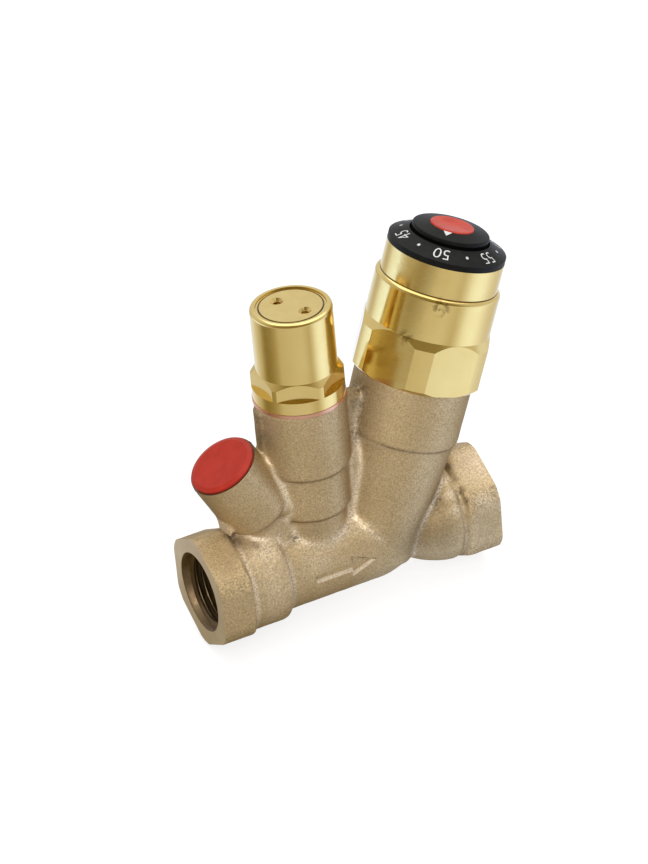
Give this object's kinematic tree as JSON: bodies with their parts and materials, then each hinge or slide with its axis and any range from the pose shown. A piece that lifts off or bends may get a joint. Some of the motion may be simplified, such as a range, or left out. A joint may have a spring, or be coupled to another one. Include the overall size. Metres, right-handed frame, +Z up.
{
  "type": "thermostatic circulation valve",
  "caption": "Bronze pipe valve with threaded hexagon ends, a temperature dial on a leaning neck, a brass bypass bonnet and a capped drain boss; it throttles circulating hot water.",
  "frame": {"origin": "centre of the inlet face, on the pipe axis", "axes": "+X along the pipe from inlet to outlet, +Z up in the plane of the necks"},
  "size_m": [0.097, 0.0346, 0.1056],
  "materials": {
    "cast_bronze": "sand-cast and blasted, matte",
    "turned_brass": "turned and polished",
    "copper": "soft annealed copper, satin",
    "black_plastic": "satin moulded",
    "red_plastic": "matte moulded",
    "seal_rubber": "matte",
    "spring_steel": "drawn wire"
  },
  "bodies": {
    "valve": {"valve_body": "cast_bronze", "setting_bonnet": "turned_brass", "bonnet_seal": "seal_rubber", "dial_sleeve": "turned_brass", "scale_ring": "black_plastic", "guide_cage": "turned_brass", "return_spring": "spring_steel", "bypass_bonnet": "turned_brass", "copper_gasket": "copper", "spanner_disc": "turned_brass", "bypass_spring": "spring_steel"},
    "dial": {"dial_hub": "black_plastic", "spindle": "turned_brass", "spindle_seals": "seal_rubber", "spindle_clip": "spring_steel", "hub_washer": "spring_steel", "hub_screw": "spring_steel"},
    "cap": {"hub_cap": "red_plastic"},
    "nut": {"setting_nut": "turned_brass", "nut_clip": "spring_steel", "spring_cup": "turned_brass", "overtravel_spring": "spring_steel", "element_pin": "spring_steel"},
    "element": {"wax_element": "turned_brass", "valve_cone": "turned_brass", "cone_seal": "seal_rubber"},
    "bypass": {"bypass_plug": "turned_brass", "bypass_seal": "seal_rubber", "bypass_capsule": "turned_brass"},
    "drain": {"drain_cap": "red_plastic"}
  },
  "joints": [
    {"name": "dial_turn", "type": "hinge", "parent": "valve", "child": "dial", "pos_m": [0.053, 0, 0], "axis": [0.3371, 0, 0.9415], "range_deg": [-180, 120]},
    {"name": "hub_cap_pull", "type": "slide", "parent": "dial", "child": "cap", "axis": [0.3371, 0, 0.9415], "range_m": [0, 0.006]},
    {"name": "nut_slide", "type": "slide", "parent": "valve", "child": "nut", "axis": [0.3371, 0, 0.9415], "range_m": [-0.0005, 0.00033333]},
    {"name": "element_stroke", "type": "slide", "parent": "nut", "child": "element", "axis": [-0.3371, 0, -0.9415], "range_m": [0, 0.002], "stiffness_N_per_m": 2000, "springref_m": -0.003, "deforming": ["return_spring"]},
    {"name": "bypass_lift", "type": "slide", "parent": "valve", "child": "bypass", "axis": [0, 0, 1], "range_m": [0, 0.003], "stiffness_N_per_m": 1500, "springref_m": -0.003, "deforming": ["bypass_spring"]},
    {"name": "drain_cap_pull", "type": "slide", "parent": "valve", "child": "drain", "axis": [-0.4571, 0, 0.8894], "range_m": [0, 0.012]}
  ],
  "couplings": [
    {"joint": "dial_turn", "follows": "nut_slide", "rad_per_m": 6283.2}
  ]
}
